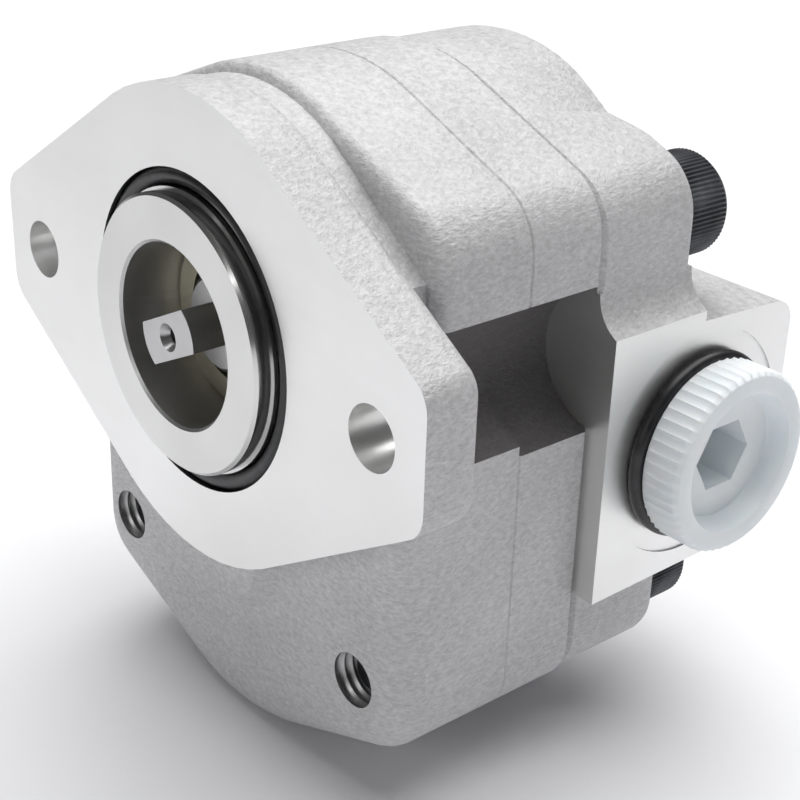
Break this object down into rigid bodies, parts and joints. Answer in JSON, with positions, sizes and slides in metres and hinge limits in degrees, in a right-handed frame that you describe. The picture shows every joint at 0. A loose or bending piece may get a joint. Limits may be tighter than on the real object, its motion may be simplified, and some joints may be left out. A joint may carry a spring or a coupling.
{
  "type": "hydraulic gear pump",
  "caption": "External gear pump with a flange, round pilot and tang drive in front, waisted cast body, side ports closed by white plastic plugs, held together by socket screws from the rear.",
  "frame": {"origin": "on the drive-shaft axis, in the face of the flange, at the foot of the pilot", "axes": "+Y runs along the shaft into the pump, away from the driving machine; +X points to the right-hand port; +Z points from the driven gear to the drive gear"},
  "size_m": [0.1052, 0.0843, 0.1038],
  "materials": {
    "cast_aluminium": "sand-cast skin with machined faces",
    "steel": "ground",
    "seal_case_steel": "zinc passivated",
    "black_oxide": "black oxide",
    "bronze": "machined",
    "rubber": "smooth",
    "white_plastic": "moulded"
  },
  "bodies": {
    "pump_body": {"front_cover": "cast_aluminium", "gear_housing": "cast_aluminium", "rear_cover": "cast_aluminium", "pilot_oring": "rubber", "shaft_seal_case": "seal_case_steel", "shaft_seal_lip": "rubber", "seal_garter_spring": "steel", "front_bush_drive": "bronze", "front_bush_driven": "bronze", "rear_bush_drive": "bronze", "rear_bush_driven": "bronze", "front_wear_plate": "bronze", "rear_wear_plate": "bronze", "front_plate_seal": "rubber", "rear_plate_seal": "rubber", "front_housing_seal": "rubber", "rear_housing_seal": "rubber", "dowel_pins": "steel", "body_screws": "black_oxide"},
    "drive_gear": {"drive_gear_shaft": "steel"},
    "driven_gear": {"driven_gear_shaft": "steel"},
    "right_plug": {"inlet_plug": "white_plastic", "inlet_plug_oring": "rubber"},
    "left_plug": {"outlet_plug": "white_plastic", "outlet_plug_oring": "rubber"}
  },
  "joints": [
    {"name": "drive_spin", "type": "hinge", "parent": "pump_body", "child": "drive_gear", "pos_m": [0, 0, 0], "axis": [0, 1, 0], "continuous": true},
    {"name": "driven_spin", "type": "hinge", "parent": "pump_body", "child": "driven_gear", "pos_m": [0, 0, -0.0312], "axis": [0, 1, 0], "continuous": true},
    {"name": "right_plug_pull", "type": "slide", "parent": "pump_body", "child": "right_plug", "axis": [1, 0, 0], "range_m": [0, 0.03]},
    {"name": "left_plug_pull", "type": "slide", "parent": "pump_body", "child": "left_plug", "axis": [-1, 0, 0], "range_m": [0, 0.03]}
  ],
  "couplings": [
    {"joint": "driven_spin", "follows": "drive_spin", "ratio": -1}
  ]
}
